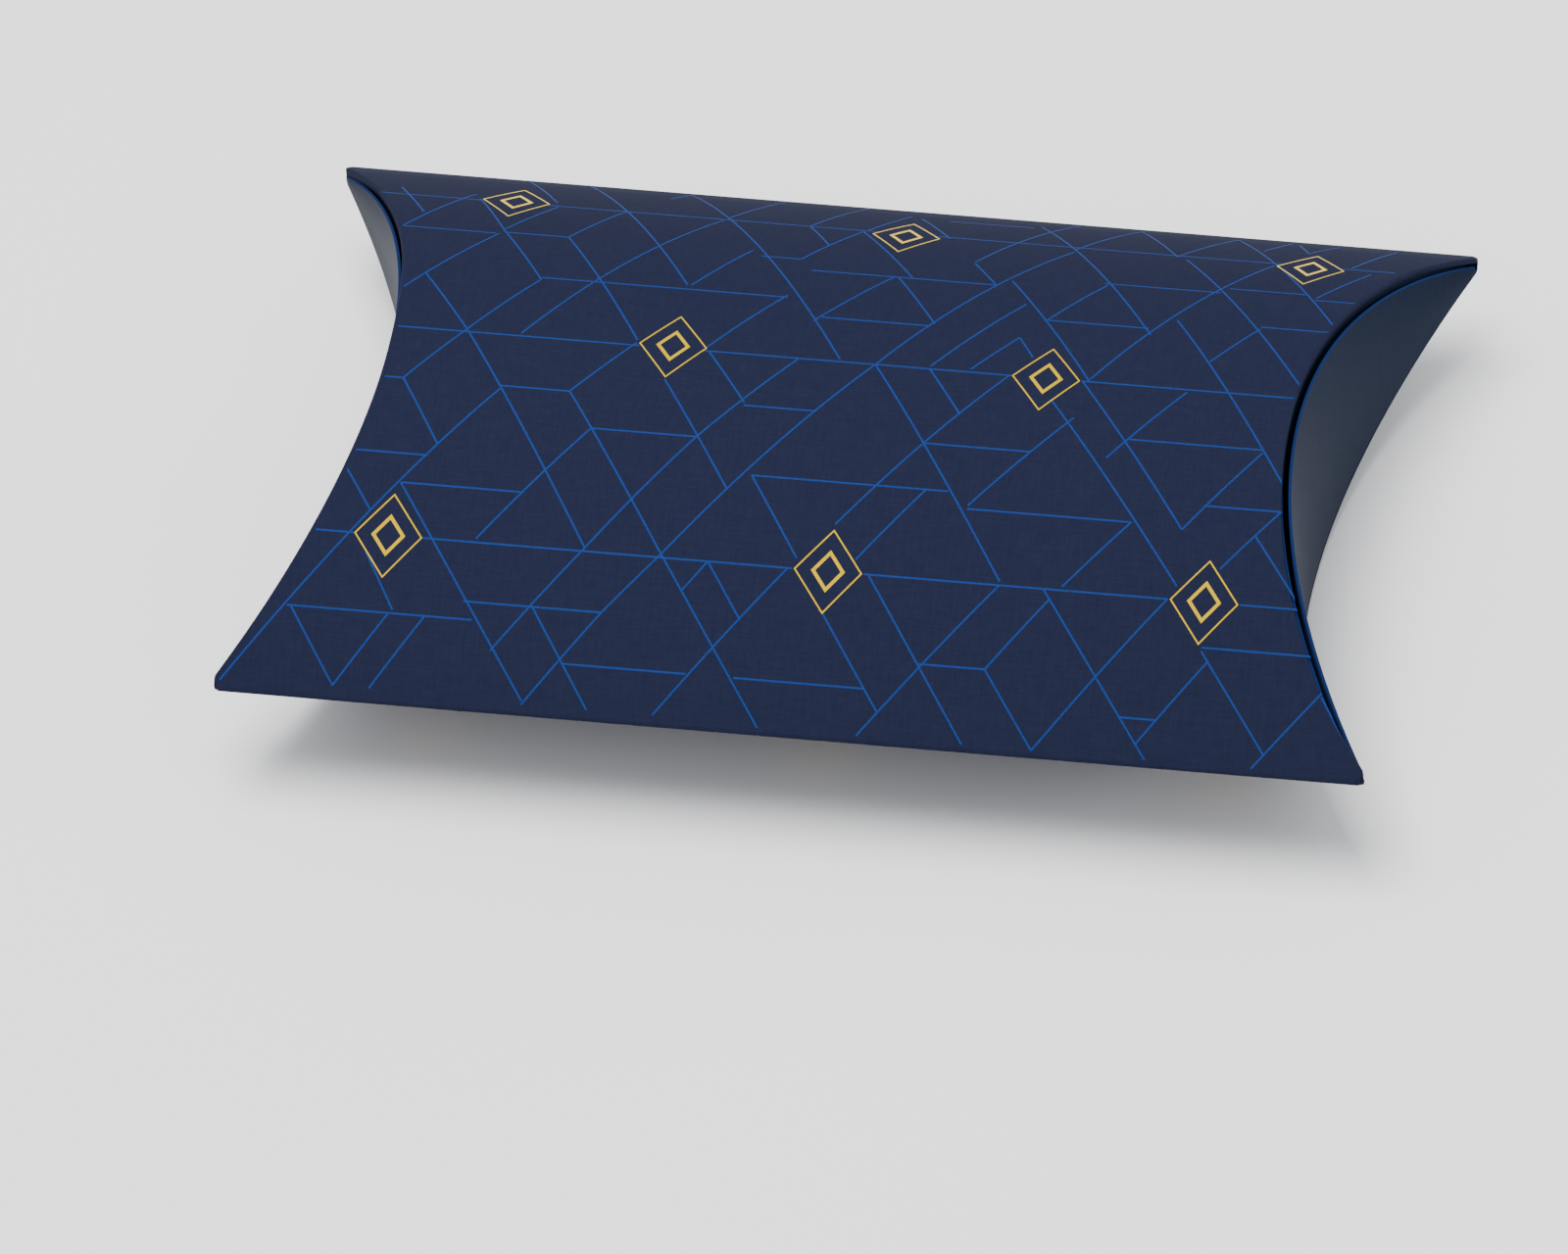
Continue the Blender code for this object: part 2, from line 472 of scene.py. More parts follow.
def new_finish(name, colour, roughness, metallic=0.0, gloss=USUAL_GLOSS):
    """A material with one shader; gloss is how strongly it mirrors."""
    finish = bpy.data.materials.new(name)
    finish.use_nodes = True
    shader = finish.node_tree.nodes["Principled BSDF"]
    shader.inputs["Specular IOR Level"].default_value = gloss
    shader.inputs["Base Color"].default_value = (*colour, 1)
    shader.inputs["Roughness"].default_value = roughness
    shader.inputs["Metallic"].default_value = metallic
    return finish


def add_node(finish, kind, **sockets):
    """Add a node, and set the sockets that are given by name."""
    node = finish.node_tree.nodes.new(kind)
    for name, value in sockets.items():
        node.inputs[name.replace("_", " ")].default_value = value
    return node


def link(finish, source, output, target, socket):
    finish.node_tree.links.new(source.outputs[output], target.inputs[socket])


def shader_of(finish):
    return finish.node_tree.nodes["Principled BSDF"]


# %% [markdown]
# The printed card has a fine laid texture: a faint weave of threads and a cloudy grain, both
# finer than a millimetre. Two noises, each stretched one way, cross each other as a weave. They
# are the height of a very shallow bump, and most finishes also shift their colour with it.

# %% The laid texture of card
WEAVE_DETAIL = 2.0
WEAVE_LOW = 0.7                  # the sum of both noises where the surface is lowest
WEAVE_HIGH = 1.3


def laid_relief(finish, thread, stretch, depth):
    """Cross two stretched noises as the relief of the surface, and return its height."""
    position = add_node(finish, "ShaderNodeTexCoord")
    heights = []
    for scale in ((1, stretch, stretch), (stretch, 1, 1)):
        squeeze = add_node(finish, "ShaderNodeMapping", Scale=scale)
        link(finish, position, "Object", squeeze, "Vector")
        threads = add_node(
            finish,
            "ShaderNodeTexNoise",
            Scale=1 / (thread * stretch),
            Detail=WEAVE_DETAIL,
        )
        link(finish, squeeze, "Vector", threads, "Vector")
        heights.append(threads)
    weave = add_node(finish, "ShaderNodeMath")
    weave.operation = "ADD"
    link(finish, heights[0], "Fac", weave, 0)
    link(finish, heights[1], "Fac", weave, 1)
    level = add_node(finish, "ShaderNodeMapRange", From_Min=WEAVE_LOW, From_Max=WEAVE_HIGH)
    link(finish, weave, "Value", level, "Value")
    relief = add_node(finish, "ShaderNodeBump", Strength=1, Distance=depth)
    link(finish, level, "Result", relief, "Height")
    link(finish, relief, "Normal", shader_of(finish), "Normal")
    return level


def laid_texture(finish, colour, other_colour, thread, stretch, depth):
    """A laid relief whose colour shifts with its height."""
    level = laid_relief(finish, thread, stretch, depth)
    tint = add_node(finish, "ShaderNodeMix")
    tint.data_type = "RGBA"
    tint.inputs["A"].default_value = (*colour, 1)
    tint.inputs["B"].default_value = (*other_colour, 1)
    link(finish, level, "Result", tint, "Factor")
    link(finish, tint, "Result", shader_of(finish), "Base Color")


NAVY = (0.0090, 0.0111, 0.0272)
NAVY_THREAD = (0.0116, 0.0138, 0.0322)
PRINTED_ROUGHNESS = 0.66
PRINTED_GLOSS = 0.02
THREAD = 0.30 * MM
THREAD_STRETCH = 9.0
LAID_DEPTH = 0.004 * MM

printed_card = new_finish("printed_card_finish", NAVY, PRINTED_ROUGHNESS, gloss=PRINTED_GLOSS)
laid_texture(printed_card, NAVY, NAVY_THREAD, THREAD, THREAD_STRETCH, LAID_DEPTH)
print("printed card made")

# %% [markdown]
# The flaps carry no pattern. The inside of the card is uncoated, so it is rougher, and a cut
# edge shows the coloured core of the card, which is a much brighter blue than its faces. The core
# has one colour all over, so it gets the relief alone.

# %% The plain, inner and cut faces of the card
PLAIN_NAVY = (0.0068, 0.0108, 0.0235)
PLAIN_THREAD = (0.0082, 0.0126, 0.0270)
PLAIN_DEPTH = 0.003 * MM
PLAIN_ROUGHNESS = 0.36
PLAIN_GLOSS = 0.007
INSIDE_NAVY = (0.0100, 0.0150, 0.0520)
INSIDE_THREAD = (0.0140, 0.0200, 0.0680)
INSIDE_ROUGHNESS = 0.75
INSIDE_GLOSS = 0.2
CORE_BLUE = (0.0070, 0.0160, 0.0620)
CORE_ROUGHNESS = 0.38

plain_card = new_finish("plain_card_finish", PLAIN_NAVY, PLAIN_ROUGHNESS, gloss=PLAIN_GLOSS)
laid_texture(plain_card, PLAIN_NAVY, PLAIN_THREAD, THREAD, THREAD_STRETCH, PLAIN_DEPTH)
inside_card = new_finish("inside_card_finish", INSIDE_NAVY, INSIDE_ROUGHNESS, gloss=INSIDE_GLOSS)
laid_texture(inside_card, INSIDE_NAVY, INSIDE_THREAD, THREAD, THREAD_STRETCH, LAID_DEPTH)
card_core = new_finish("card_core_finish", CORE_BLUE, CORE_ROUGHNESS, gloss=PLAIN_GLOSS)
laid_relief(card_core, THREAD, THREAD_STRETCH, PLAIN_DEPTH)
print("plain, inner and core finishes made")

# %% [markdown]
# Solidify turns the skin into card. Its offset is inwards, because the skin is the outer face.
# Its second finish goes to the inner face and its third one to the cut edge. The sleeve's cut
# edge lies behind the flaps, under the rolled lip, and looks like the printed face there.

# %% Give the sleeve its thickness
INNER_FACE = 1                   # places in a piece's list of finishes
CUT_FACE = 2
THICKNESS_CLAMP = 1.0            # narrow corners are thickened by no more than their own width


def apply_modifier(piece, modifier):
    make_active(piece)
    bpy.ops.object.modifier_apply(modifier=modifier.name)


def thicken(piece, finishes):
    """Card thickness behind the skin; the finishes are for the outer, inner and cut faces."""
    for finish in finishes:
        piece.data.materials.append(finish)
    wall = piece.modifiers.new("card", "SOLIDIFY")
    wall.thickness = CARD
    wall.thickness_clamp = THICKNESS_CLAMP
    wall.offset = -1
    wall.material_offset = INNER_FACE
    wall.material_offset_rim = CUT_FACE
    apply_modifier(piece, wall)


SMOOTH_ANGLE = math.radians(32)


def smooth(piece):
    make_active(piece)
    bpy.ops.object.shade_smooth_by_angle(angle=SMOOTH_ANGLE)


thicken(sleeve, (printed_card, inside_card, printed_card))
smooth(sleeve)
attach(sleeve, "sleeve")
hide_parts("top_panel", "bottom_panel")
print("sleeve card,", len(sleeve.data.polygons), "faces")

# %% [markdown]
# The sleeve is closed by a narrow flap inside the rear fold, glued to the lower panel. It is
# spun like the panels, a little inside the lower one, and its ends are cut back at a slant.

# %% The glue flap
GLUE_FLAP_WIDTH = 14.0 * MM
GLUE_FLAP_END_GAP = 4.0 * MM     # from its slanted ends to the upper end creases
GLUE_GAP = 0.3 * MM              # from the lower panel to the glue flap
GLUE_STEPS = 16

glue_radius = RADIUS - HALF_CARD - GLUE_GAP
glue_start = FOLD_ANGLE - GLUE_FLAP_WIDTH / RADIUS
glue_turn = FOLD_ANGLE - CARD / RADIUS - glue_start
glue_length = INNER_TIP - GLUE_FLAP_END_GAP
glue_across = glue_radius * math.sin(glue_start)
glue_height = MIDDLE + AXIS_DEPTH - glue_radius * math.cos(glue_start)
glue_flap = straight_line(
    "glue_flap_card",
    (-glue_length, glue_across, glue_height),
    (glue_length, glue_across, glue_height),
)
open_piece(glue_flap)
bpy.ops.mesh.select_all(action="SELECT")
bpy.ops.mesh.spin(
    steps=GLUE_STEPS,
    angle=-glue_turn,
    center=(0, 0, MIDDLE + AXIS_DEPTH),
    axis=(1, 0, 0),
)
for end in ENDS.values():
    trim((end * glue_length, 0, MIDDLE), (end, 0, -1))
bpy.ops.mesh.select_all(action="SELECT")
bpy.ops.mesh.normals_make_consistent(inside=False)
close_piece()
glue_lowest = min(vert.co.z for vert in glue_flap.data.vertices)
print("glue flap,", len(glue_flap.data.polygons), "faces, lowest", round(glue_lowest / MM, 2), "mm")

# %% [markdown]
# A sheet has no inside or outside of its own, and the thickness has to go to the right side. The
# glue flap is turned to face down, towards the panel that it is glued to. Both of its faces are
# unprinted, and its rim shows the core of the card.

# %% Finish the glue flap
def face_towards(piece, direction):
    """Turn an open sheet over if its first face looks away from the direction."""
    if piece.data.polygons[0].normal.dot(Vector(direction)) < 0:
        piece.data.flip_normals()


face_towards(glue_flap, (0, 0, -1))
thicken(glue_flap, (inside_card, inside_card, card_core))
smooth(glue_flap)
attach(glue_flap, "sleeve")
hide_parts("glue_flap")
print("glue flap finished")

# %% [markdown]
# A shut flap stands upright and curves into the box: it is part of an upright cylinder with the
# same radius as the panels. So it is an upright line spun about an upright axis outside the box.
# Its root and its free edge again lie in slanted planes. Towards the tips the root reaches a
# little further behind the lip, so that no slit opens there when the flap is laid flat. Each
# flap is first made whole.

# %% Spin a whole flap
ROOT_GAP = 0.72 * MM             # from the crease to the root, where the rolled lip ends
LEFT_ROOT_GAP = 1.5 * MM         # the same behind the deeper lip
OUTER_FLAP_SHORT = 1.35 * MM     # from the free edge to the upper crease
INNER_FLAP_DEPTH_SHARE = 0.46    # of the mouth's height
FLAP_TIP_HEIGHT = 2.8 * MM       # of the mouth, where a flap ends beside a tip
FLAP_STEPS = 112
ROOT_REACH_START = 22.0 * MM     # from here on outwards, the root reaches further
TIP_ANGLE = math.acos((AXIS_DEPTH + FLAP_TIP_HEIGHT / 2) / RADIUS)
# The outer flap stands on the lower panel, and the inner flap hangs from the upper one. Where a
# flap curves into the box by a millimetre, its free edge lies free_slope millimetres further from
# its own panel than the middle of the box
FLAPS = {
    "outer_flap": {
        "tip": OUTER_TIP,
        "half": HALVES["lower"],
        "root_gaps": {"left": ROOT_GAP, "right": ROOT_GAP},
        "root_reach": 0.55 * MM,
        "free_slope": 1,
        "free_short": OUTER_FLAP_SHORT,
    },
    "inner_flap": {
        "tip": INNER_TIP,
        "half": HALVES["upper"],
        "root_gaps": {"left": LEFT_ROOT_GAP, "right": ROOT_GAP},
        "root_reach": 0.25 * MM,
        "free_slope": 2 * INNER_FLAP_DEPTH_SHARE - 1,
        "free_short": 0,
    },
}


def axis_of_flap(shape, end):
    """Where along the box the upright axis of a shut flap's arc stands."""
    return end * (shape["tip"] + FLAP_STANDOFF + AXIS_DEPTH)


def whole_flap(name, shape, end_name):
    """A shut flap, in one piece and without a thickness."""
    end = ENDS[end_name]
    half = shape["half"]
    axis_x = axis_of_flap(shape, end)
    skin = RADIUS - HALF_CARD
    start_x = axis_x - end * skin * math.cos(TIP_ANGLE)
    start_y = -skin * math.sin(TIP_ANGLE)
    flap = straight_line(name, (start_x, start_y, lowest), (start_x, start_y, highest))
    open_piece(flap)
    bpy.ops.mesh.select_all(action="SELECT")
    bpy.ops.mesh.spin(
        steps=FLAP_STEPS,
        angle=end * 2 * TIP_ANGLE,
        center=(axis_x, 0, MIDDLE),
        axis=(0, 0, 1),
    )
    skin_tip = end * (shape["tip"] + FLAP_STANDOFF + HALF_CARD)
    trim((skin_tip, 0, MIDDLE - half * shape["root_gaps"][end_name]), (end, 0, half))

    def reached(place):
        """Let the root reach further behind the lip, the nearer it is to a tip."""
        share = (abs(place.y) - ROOT_REACH_START) / (HALF_WIDTH - ROOT_REACH_START)
        if (place.z - MIDDLE) * half > 0:
            place.z += half * shape["root_reach"] * eased(share)
        return place

    bpy.ops.mesh.select_all(action="SELECT")
    move_picked(reached)
    free_edge = (skin_tip, 0, MIDDLE + half * shape["free_short"])
    trim(free_edge, (end * shape["free_slope"], 0, -half))
    bpy.ops.mesh.select_all(action="SELECT")
    move_picked(lambda place: pulled_back(place, 0))
    close_piece()
    face_towards(flap, (end, 0, 0))
    return flap


whole_flaps = {}
for end_name in ENDS:
    for flap_name, shape in FLAPS.items():
        flap = whole_flap(f"{flap_name}_{end_name}", shape, end_name)
        whole_flaps[flap_name, end_name] = flap
        low = min(vert.co.z for vert in flap.data.vertices)
        high = max(vert.co.z for vert in flap.data.vertices)
        print(flap.name, "from", round(low / MM, 2), "to", round(high / MM, 2), "mm")

# %% [markdown]
# A flap is card too, so it gets the same thickness. Its border is the cut edge, and a very
# small bevel there takes off the sharpness, as the press of the cutting rule does on real card.

# %% Thicken the flaps and ease their cut edges
CUT_EDGE_ROUNDING = 0.09 * MM
CUT_EDGE_SEGMENTS = 2


def beside_cut_face(edge):
    """Whether an edge parts a face of the card from its cut face."""
    kinds = {face.material_index for face in edge.link_faces}
    return len(kinds) > 1


for flap in whole_flaps.values():
    thicken(flap, (plain_card, inside_card, card_core))
    open_piece(flap)
    pick_edges(beside_cut_face)
    bpy.ops.mesh.bevel(
        offset=CUT_EDGE_ROUNDING,
        segments=CUT_EDGE_SEGMENTS,
        affect="EDGES",
        material=CUT_FACE,
    )
    close_piece()
print("flaps thickened,", sum(len(flap.data.polygons) for flap in whole_flaps.values()), "faces")

# %% [markdown]
# Card bends all over when a flap is opened, but the model turns it along a few bend lines. A
# flap is therefore cut into six lengths, from the middle of one strip to the middle of the
# next, and the strips of the fixed model are hidden. For each length, its bend line and how far
# a blend would reach beyond it are worked out, but no blend is made here.

# %% Cut the flaps into lengths
STRIPS = 7
STRIP_ANGLE = 2 * FOLD_ANGLE / STRIPS
LENGTHS = STRIPS - 1
TURNING_REACH_SHARE = 1.44       # from the bend line to where a blend starts, of a strip's width


def strip_middle(number):
    """Angle of the middle of a strip, which are numbered from 1 at the front."""
    return (number - (STRIPS + 1) / 2) * STRIP_ANGLE


def slice_plane(axis_x, end, angle):
    """A point and a direction across the flap, at an angle of its arc."""
    point = (axis_x - end * RADIUS * math.cos(angle), RADIUS * math.sin(angle), MIDDLE)
    across = Vector((end * math.sin(angle), math.cos(angle), 0))
    return point, across


def flap_length(whole, number, axis_x, end):
    """A copy of the flap, cut down to what lies round one bend line."""
    piece = copied(whole)
    start, forwards = slice_plane(axis_x, end, strip_middle(number))
    stop, onwards = slice_plane(axis_x, end, strip_middle(number + 1))
    open_piece(piece)
    if number > 1:
        trim(start, -forwards, fill=True)
    if number < LENGTHS:
        trim(stop, onwards, fill=True)
    close_piece()
    smooth(piece)
    return piece, start, stop


for (flap_name, end_name), whole in whole_flaps.items():
    end = ENDS[end_name]
    axis_x = axis_of_flap(FLAPS[flap_name], end)
    for number in range(1, LENGTHS + 1):
        piece, start, stop = flap_length(whole, number, axis_x, end)
        piece.name = f"{flap_name}_{end_name}_card_{number}"
        bend_line = (Vector(start) + Vector(stop)) / 2
        reach = (Vector(stop) - Vector(start)) * TURNING_REACH_SHARE
        strip = f"{flap_name}_{end_name}_strip_{number}"
        next_strip = f"{flap_name}_{end_name}_strip_{number + 1}"
        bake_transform(piece)
        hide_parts(strip)
        if number == LENGTHS:
            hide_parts(next_strip)
    bpy.data.objects.remove(whole, do_unlink=True)
    print(flap_name, end_name, "cut into", LENGTHS, "lengths")

# %% [markdown]
# The print is a net of fine lines in three directions, with foil lozenges where they meet. It
# could be painted by a node material, but each line starts and stops at its own place, so the
# lines are drawn as thin ribbons of ink on the flat sheet, and rolled onto the bulge. Places on
# the sheet are in millimetres: along the box from its middle, and across it towards the rear.

# %% The places of the lines
# Level lines: from, to, and how far across
LEVEL_LINES = [
    (-71.5, 69.5, 39.5), (-62.5, 62, 4), (-68, 67.5, -30.5), (-66, -53, 28), (-51.5, -43, 28.5),
    (-44.5, -10.5, 17), (-16, -10.5, 27.5), (-8.5, 17, 24.5), (-5, 10, 13), (6.5, 18, 48),
    (31.5, 47.5, 27.5), (48.5, 59, 29), (60.5, 66, 27.5), (25.5, 39.5, 16.5), (54.5, 64, 19),
    (-62.5, -59.5, -5.5), (-46, -36.5, -5.5), (-64.5, -54, -18), (-57, -40, -22.5),
    (-32.5, -18, -11.5), (-12.5, -2.5, -5.5), (13, 27.5, -9.5), (-9.5, 17.5, -17),
    (20.5, 43, -19.5), (40.5, 59, -6), (52.5, 63, -16), (-70, -44.5, -41.5), (-46, -27, -39),
    (-31.5, -14.5, -46.5), (-8, 10, -46.5), (17, 26, -42.5), (45, 50, -47.5), (55, 70.5, -37),
]
# Lines that fall to the right: along and across at the upper end, then at the lower end
FALLING_LINES = [
    (-69, 42.5, -64, 33), (-57.5, 40, -52, 29), (-52, 29, -44.5, 16.5), (-53.5, 53.5, -47, 41),
    (-45, 53.5, -24.5, 18), (-30.5, 52.5, -1, 4.5), (-43, 28.5, -29, 5), (-60.5, 16, -52.5, 4.5),
    (-11.5, 39.5, -7.5, 32.5), (-4, 39, 5.5, 24.5), (2.5, 48, 8, 39), (19, 49, 40, 15),
    (13, 30.5, 17, 24.5), (19, 26, 33.5, 4), (3.5, 24.5, 10.5, 13.5), (22.5, 12, 25, 8),
    (32.5, 51.5, 39.5, 39), (46, 51, 64, 21), (54.5, 50.5, 56.5, 46), (41, 38, 62, 6.5),
    (43, 19, 62.5, -11.5), (-59.5, -5.5, -53, -16), (-52.5, 4.5, -30.5, -30),
    (-36.5, -5.5, -20, -30), (-20, -30, -4, -53), (-65, -20.5, -60.5, -27),
    (-57, -22.5, -36.5, -52), (-61.5, -31, -55.5, -41), (-69.5, -41.5, -62.5, -52),
    (-36.5, -39, -27.5, -52.5), (-19, 4, -12.5, -5), (-24, -2, -12.5, -19.5), (4, 4, 26.5, -30),
    (11.5, 4, 17, -4), (-9.5, -17, -1.5, -29), (-13.5, -30.5, -8, -38.5), (3, -36.5, 12, -49.5),
    (8.5, -30.5, 24, -53), (26, -42.5, 33.5, -53), (32.5, 4, 50, -20), (28.5, 0.5, 50.5, -28.5),
    (60, -20, 67.5, -30), (32.5, -30.5, 49, -53), (55, -37.5, 65, -51), (72, -42.5, 77.5, -51),
]
# Lines that rise to the right: along and across at the upper end, then at the lower end
RISING_LINES = [
    (-58.5, 42, -66, 28), (-46.5, 39, -52, 29.5), (-37, 39.5, -43, 28.5), (-23.5, 39, -45, 4.5),
    (-44.5, 16.5, -52.5, 4.5), (-52.5, 28, -63, 12), (-30, 52.5, -32.5, 48), (-17, 52.5, -23, 40),
    (-5.5, 52.5, -11.5, 39.5), (-4, 39, -10.5, 27.5), (1, 49, -3.5, 39.5), (24, 52.5, 13, 31),
    (25.5, 37.5, 4, 4), (4, 4, -20, -30), (-20, -30, -27, -39), (-27, -39, -36.5, -52.5),
    (3, 24.5, -6, 12), (-17.5, 29, -24, 18), (-10.5, 17.5, -19.5, 4.5), (22, 20, 11.5, 4.5),
    (22.5, 12, 17, 4.5), (32.5, 51.5, 25.5, 38.5), (46, 51, 39.5, 39), (53.5, 51.5, 50.5, 45),
    (60, 51.5, 56.5, 45.5), (68, 51, 63.5, 40), (66.5, 38, 60.5, 28), (53, 38.5, 33.5, 4.5),
    (32, 27, 25.5, 16.5), (54.5, 18.5, 49, 10), (-52.5, 4.5, -59.5, -5.5),
    (-29, 4.5, -36.5, -5.5), (-46, -6, -78, -52.5), (-32.5, -11.5, -45.5, -30),
    (-18, -11.5, -30.5, -30), (-30.5, -30, -41.5, -45.5), (-56, -41.5, -62.5, -52),
    (-51, -41.5, -57.5, -52), (-6.5, 4, -18, -11.5), (22.5, 4, 3, -23.5), (14.5, -17, 6.5, -28.5),
    (32.5, -3, 20.5, -19), (-13.5, -30.5, -16.5, -35), (-2.5, -30.5, -18.5, -52.5),
    (26.5, -30.5, 9.5, -53), (33.5, -32, 26, -42.5), (47, 3.5, 38, -9.5), (59, -6.5, 50, -20),
    (63, -16, 56, -25.5), (43, -19.5, 35, -30), (49.5, -30.5, 33.5, -53), (56, -39, 47.5, -51),
    (72, -42, 63.5, -53),
]
# Lozenges: along and across at the centre
LOZENGES = [
    (-52.5, 40), (2, 38.5), (58, 38.5),
    (-24, 4.5), (27.5, 4),
    (-57.5, -30.5), (3, -30.5), (54.5, -30.5),
]
print(len(LEVEL_LINES) + len(FALLING_LINES) + len(RISING_LINES), "lines,", len(LOZENGES), "lozenges")

# %% [markdown]
# No line runs through a lozenge. A line is walked from end to end, and the stretch that lies
# inside a lozenge is left out. The test uses that a lozenge is where the shares of its half
# width and half height add up to less than one.

# %% Leave the lozenges free
LOZENGE_LENGTH = 9.4 * MM
LOZENGE_WIDTH = 12.4 * MM
WALK_STEPS = 400


def in_lozenge(point):
    for along, across in LOZENGES:
        length_share = abs(point.x - along * MM) / (LOZENGE_LENGTH / 2)
        width_share = abs(point.y - across * MM) / (LOZENGE_WIDTH / 2)
        if length_share + width_share < 1:
            return True
    return False


def free_stretches(start, stop):
    """The stretches of a line that lie outside the lozenges, as pairs of ends."""
    stretches = []
    first = None
    last = None
    for step in range(WALK_STEPS + 1):
        point = start.lerp(stop, step / WALK_STEPS)
        if in_lozenge(point):
            if first is not None and last is not first:
                stretches.append((first, last))
            first = None
        else:
            if first is None:
                first = point
            last = point
    if first is not None and last is not first:
        stretches.append((first, last))
    return stretches


lines = {"level": [], "falling": [], "rising": []}
for start, stop, across in LEVEL_LINES:
    lines["level"] += free_stretches(Vector((start, across, 0)) * MM, Vector((stop, across, 0)) * MM)
for family, table in (("falling", FALLING_LINES), ("rising", RISING_LINES)):
    for along, across, other_along, other_across in table:
        start = Vector((along, across, 0)) * MM
        stop = Vector((other_along, other_across, 0)) * MM
        lines[family] += free_stretches(start, stop)
print("stretches to draw:", sum(len(family) for family in lines.values()))

# %% [markdown]
# One ribbon is modelled: a plane that is divided along its length, so that it can follow the
# bulge. Every line is a copy of it, stretched to its length and laid in its place on the flat
# sheet. The three directions lie a hair apart in height, so that no two share one surface.

# %% Draw the lines on the flat sheet
HAIRLINE_WIDTH = 0.28 * MM
INK_THICKNESS = 0.012 * MM
INK_LIFTS = {"level": 0.012 * MM, "falling": 0.018 * MM, "rising": 0.024 * MM}
RIBBON_CELLS = 20


def joined(pieces, name):
    """Join several pieces into one, and name it."""
    make_active(pieces[0])
    for piece in pieces:
        piece.select_set(True)
    bpy.ops.object.join()
    pieces[0].name = name
    return pieces[0]


bpy.ops.mesh.primitive_grid_add(x_subdivisions=RIBBON_CELLS, y_subdivisions=1, size=1)
ribbon = bpy.context.object
ribbon.name = "ribbon"
drawn = []
for family, stretches in lines.items():
    for start, stop in stretches:
        line = copied(ribbon)
        run = stop - start
        size = Matrix.Diagonal((run.length, HAIRLINE_WIDTH, 1, 1))
        turn = Matrix.Rotation(math.atan2(run.y, run.x), 4, "Z")
        place = Matrix.Translation((start + stop) / 2 + Vector((0, 0, INK_LIFTS[family])))
        line.data.transform(place @ turn @ size)
        drawn.append(line)
bpy.data.objects.remove(ribbon, do_unlink=True)
hairlines = joined(drawn, "hairlines_top")
print("hairlines,", len(hairlines.data.polygons), "faces")

# %% [markdown]
# A lozenge is two frames, one inside the other. Each is a square, turned to stand on a corner,
# stretched, and inset by the width of its line; the middle face is then deleted.

# %% Draw the foil lozenges on the flat sheet
FOIL_LIFT = 0.02 * MM
FRAMES = [
    {"share": 1.0, "line": 0.20 * MM},
    {"share": 0.5, "line": 0.48 * MM},
]
FOIL_CUTS = 5


def foil_frame(along, across, share, line):
    """One frame: share is its part of the lozenge's size, and line the width of its line."""
    bpy.ops.mesh.primitive_circle_add(vertices=4, radius=1, fill_type="NGON")
    frame_piece = bpy.context.object
    size = Matrix.Diagonal((LOZENGE_LENGTH / 2 * share, LOZENGE_WIDTH / 2 * share, 1, 1))
    place = Matrix.Translation((along * MM, across * MM, FOIL_LIFT))
    frame_piece.data.transform(place @ size)
    frame_piece.data.update()
    open_piece(frame_piece)
    bpy.ops.mesh.select_mode(type="FACE")
    bpy.ops.mesh.select_all(action="SELECT")
    bpy.ops.mesh.inset(thickness=line)
    bpy.ops.mesh.delete(type="FACE")
    bpy.ops.mesh.select_all(action="SELECT")
    bpy.ops.mesh.subdivide(number_cuts=FOIL_CUTS)
    close_piece()
    return frame_piece


frames = []
for along, across in LOZENGES:
    for shape in FRAMES:
        frames.append(foil_frame(along, across, **shape))
foil = joined(frames, "foil_top")
print("foil,", len(foil.data.polygons), "faces")

# %% [markdown]
# The lines are a mid blue ink, and the lozenges are hot foil. Foil could be a pure metal, but that
# shows only what it mirrors, which here is a pale room. This one is a metal to four fifths, so
# that it keeps some yellow of its own from every side. Both take the texture of the card under
# them, with a finer grain.

# %% The ink and the foil
BLUE_INK = (0.0080, 0.0260, 0.1200)
BLUE_INK_THIN = (0.0110, 0.0340, 0.1500)
INK_ROUGHNESS = 0.5
GOLD_FOIL = (1.0, 0.68, 0.0)
GOLD_FOIL_WORN = (0.86, 0.54, 0.0)
FOIL_ROUGHNESS = 0.38
FOIL_METAL = 0.8
GRAIN = 0.22 * MM
GRAIN_STRETCH = 2.0
PRINT_DEPTH = 0.002 * MM

hairline_ink = new_finish("hairline_ink", BLUE_INK, INK_ROUGHNESS, gloss=PRINTED_GLOSS)
laid_texture(hairline_ink, BLUE_INK, BLUE_INK_THIN, GRAIN, GRAIN_STRETCH, PRINT_DEPTH)
gold_foil = new_finish("gold_foil", GOLD_FOIL, FOIL_ROUGHNESS, metallic=FOIL_METAL)
laid_texture(gold_foil, GOLD_FOIL, GOLD_FOIL_WORN, GRAIN, GRAIN_STRETCH, PRINT_DEPTH)
print("ink and foil made")

# %% [markdown]
# Now the flat drawings are rolled onto the bulge. A distance across the sheet becomes an angle
# of the arc, and the height over the sheet is added to its radius. What would run over a crease
# is cut off a little before it, where the real print stops too.

# %% Roll the print onto the upper panel
# How far the print stops before the crease: the margin beside the side folds, and a slope that
# makes it wider towards the middle of the panel
PRINT_ENDS = {
    "left": {"margin": 0.4 * MM, "slope": 0.01},
    "right": {"margin": 0.7 * MM, "slope": 0.09},
}


def roll_onto_bulge(piece):
    """Lay a flat drawing on the arc of the upper panel."""
    for vert in piece.data.vertices:
        angle = vert.co.y / RADIUS
        reach = SKIN_RADIUS + vert.co.z
        vert.co.y = reach * math.sin(angle)
        vert.co.z = MIDDLE - AXIS_DEPTH + reach * math.cos(angle)
    piece.data.update()


